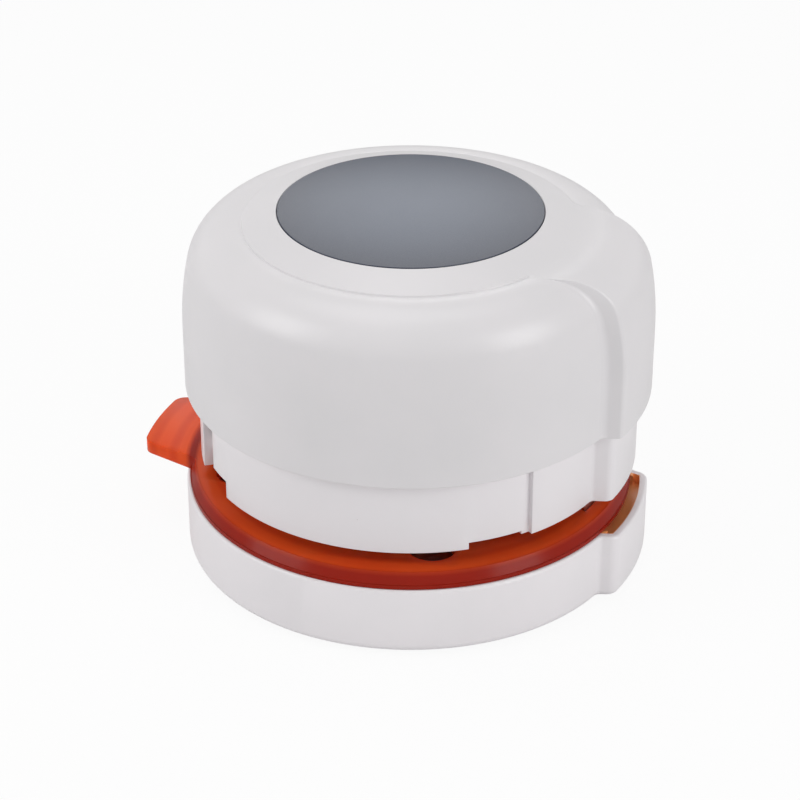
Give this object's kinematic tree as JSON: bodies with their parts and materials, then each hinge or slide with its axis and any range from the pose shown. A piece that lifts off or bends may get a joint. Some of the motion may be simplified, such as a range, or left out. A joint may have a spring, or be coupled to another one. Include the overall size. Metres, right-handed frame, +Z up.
{
  "type": "circle punch",
  "caption": "Desk punch that cuts a paper disc: a round cap pressed down over a sprung housing, a base tray with a steel die, and a turning lock ring with a thumb tab.",
  "frame": {"origin": "on the table plane, on the axis of the punch, the die and the base's exit bore", "axes": "+Z up along the punch axis, +Y towards the bulge at the back of the mouldings; paper goes in from -Y and the thumb tab rests 1 degree off -Y towards +X"},
  "size_m": [0.0892, 0.1014, 0.0721],
  "materials": {
    "white_moulding": "satin white ABS",
    "orange_ring": "translucent orange-red moulding",
    "grey_plate": "fine satin slate grey",
    "grey_moulding": "as moulded",
    "tool_steel": "ground tool steel, darkened flange",
    "plain_steel": "zinc plated",
    "dark_screw": "black zinc",
    "spring_wire": "drawn wire",
    "foot_rubber": "matt"
  },
  "bodies": {
    "base": {"base_tray": "white_moulding", "die_plate": "tool_steel", "keeper_ring": "tool_steel", "back_spacer": "plain_steel", "guide_plate": "tool_steel", "housing": "white_moulding", "die_screws": "dark_screw", "frame_screws": "dark_screw", "guide_plate_screws": "dark_screw", "rubber_foot_1": "foot_rubber", "rubber_foot_2": "foot_rubber", "rubber_foot_3": "foot_rubber", "rubber_foot_4": "foot_rubber", "return_spring_1": "spring_wire", "return_spring_2": "spring_wire", "return_spring_3": "spring_wire", "return_spring_4": "spring_wire"},
    "lock": {"lock_ring": "orange_ring"},
    "press": {"cap": "white_moulding", "top_disc": "grey_plate", "punch_holder": "grey_moulding", "punch": "tool_steel", "punch_screws": "dark_screw", "holder_screws": "dark_screw", "latch_leg_right": "grey_moulding", "latch_leg_left": "grey_moulding", "latch_screws": "dark_screw"}
  },
  "joints": [
    {"name": "cap_press", "type": "slide", "parent": "base", "child": "press", "axis": [0, 0, -1], "range_m": [0, 0.012], "stiffness_N_per_m": 2500, "springref_m": -0.004, "deforming": ["return_spring_1", "return_spring_2", "return_spring_3", "return_spring_4"]},
    {"name": "ring_turn", "type": "hinge", "parent": "base", "child": "lock", "pos_m": [0, 0, 0.0163], "axis": [0, 0, -1], "range_deg": [0, 30]}
  ]
}
